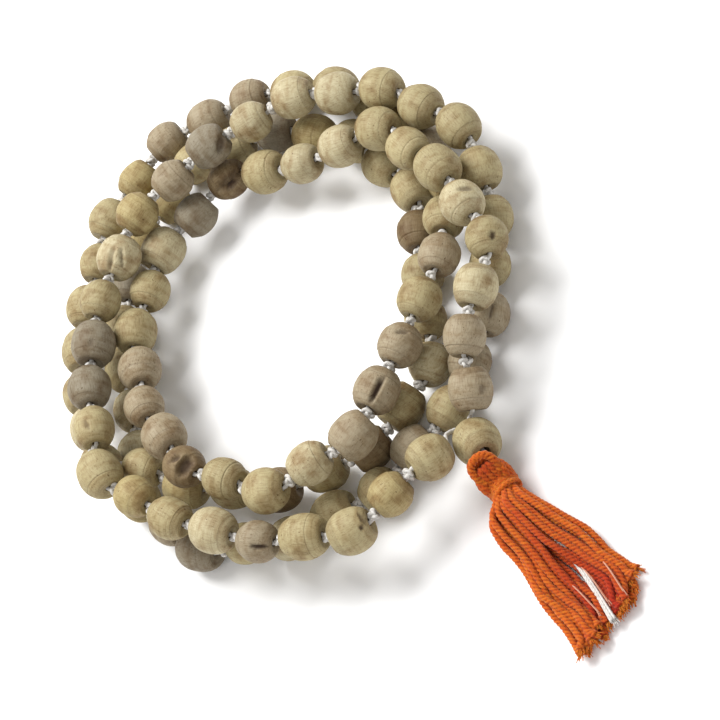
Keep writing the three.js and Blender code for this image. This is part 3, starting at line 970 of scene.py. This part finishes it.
WRAPS = 4
STEPS_PER_WRAP = 24
WRAP_RADIUS = 2.95
WRAP_YARN_RADIUS = 0.64
CORE_RADIUS = 2.7


def add_binding():
    """Yarn wound round the neck in close, slightly slanting turns."""
    rope = Rope()
    steps = WRAPS * STEPS_PER_WRAP
    route = []
    for step in range(steps + 1):
        angle = 2 * math.pi * step / STEPS_PER_WRAP
        slant = 0.3 * math.sin(angle)
        along = HEAD_LENGTH + 0.5 + (BINDING_LENGTH - 0.6) * step / steps - 0.25 * math.cos(angle)
        radius = WRAP_RADIUS + 0.1 * math.sin(angle * 0.37)
        across = 1.1 * radius * math.cos(angle)
        route.append(on_tassel(across, along + slant, AXIS_HEIGHT + radius * math.sin(angle)))
    # Painted shade over the wound yarn.
    rope.add(smooth_path(route, 0.4), WRAP_YARN_RADIUS, YARN_TWIST, sides=15, plies=YARN_PLIES, depth=0.3,
             deep=0.15)
    core = [on_tassel(0, HEAD_LENGTH - 0.6, AXIS_HEIGHT), on_tassel(0, SKIRT_START + 0.5, AXIS_HEIGHT)]
    rope.add(smooth_path(core, 0.6), CORE_RADIUS, 200, sides=24, plies=12, depth=0.12)
    binding = rope.build("tassel_binding_wraps", ORANGE)
    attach(binding, "tassel")
    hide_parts("tassel_binding")


def add_tie():
    """The white cord from the guru bead into the eye of the tassel's head."""
    rope = Rope()
    front = mouth(0, 1)
    eye = on_tassel(0.8, 0.0, 9.0)
    outward = front + bead_axis(0) * 0.7
    rope.add(smooth_path([mouth(0, 0.4), front, outward, eye, on_tassel(0.4, 0.6, 7.6)], 0.3),
             CORD_RADIUS, CORD_TWIST, sides=10)
    tie = rope.build("tassel_tie_cord", COTTON)
    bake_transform(tie)
    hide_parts("tassel_cord")


def top_of_yarns(stations, across, height, at_across, along):
    """How high the yarns reach at a place of the skirt."""
    k = int(np.argmin(np.abs(stations - along)))
    near = np.abs(across[:, k] - at_across) < 1.6
    return float(height[near, k].max()) + YARN_RADIUS if near.any() else 2 * YARN_RADIUS


# Each tail's name, radius, material, and route as (across, along) from the head's start.
TAILS = [
    ("cord_tail_wide", 0.75, COTTON, [(0.0, 14), (1.2, 22), (1.9, 30), (1.3, 38), (0.3, 47.5)]),
    ("cord_tail_left", 0.3, PALE_THREAD, [(-6.0, 12), (-5.0, 20), (-2.8, 28), (-1.6, 36), (-1.0, 44)]),
    ("cord_tail_right", 0.3, PALE_THREAD, [(2.4, 14), (4.6, 23), (6.2, 31), (6.6, 38), (6.0, 45)]),
    ("cord_tail_low", 0.3, PALE_THREAD, [(-0.6, 12), (0.4, 20), (1.5, 28), (2.4, 36), (2.0, 44)]),
]
# How deep a tail lies under the tops of the yarns at each of its five places.
TAIL_DEPTHS = (5.0, 4.6, 3.2, 0.4, 0.2)
THICK_TAIL = 0.5
THREAD_SHARE = 0.42
THREAD_TWIST = 2.4


def add_tails(stations, across, height):
    """The cord's cut white end and thin pale ones among the yarns, as bundles of loose threads."""
    rng = random.Random(23)
    for name, radius, material, route in TAILS:
        points = []
        for (side, along), sunk in zip(route, TAIL_DEPTHS):
            top = top_of_yarns(stations, across, height, side, along)
            points.append(on_tassel(side, along, max(top + radius - sunk, radius + 0.2)))
        path = smooth_path(points, 0.5)
        rope = Rope()
        threads = 7 if radius > THICK_TAIL else 3
        for thread in range(threads):
            turn = 2 * math.pi * thread / threads
            reach = 0.62 * radius if thread else 0
            offset = ACROSS * reach * math.cos(turn) + Vector((0, 0, reach * math.sin(turn)))
            spread = [point + offset * (1 + 0.5 * max(0, k / len(path) - 0.8) * 5)
                      for k, point in enumerate(path)]
            rope.add(spread, THREAD_SHARE * radius, THREAD_TWIST, sides=8, depth=0.3, phase=turn)
        fray(rope, path, rng, 8 if radius > THICK_TAIL else 2)
        tail = rope.build(name, material)
        declare_cord(tail)
        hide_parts("cord_tails")


# ---------------------------------------------------------------- build

add_camera()
yarn_lay = add_yarns()
add_tails(*yarn_lay)
add_studio()
add_head()
add_binding()
add_tie()
add_stringing_cord()
for bead_index in range(len(CENTRES)):
    add_bead(bead_index)
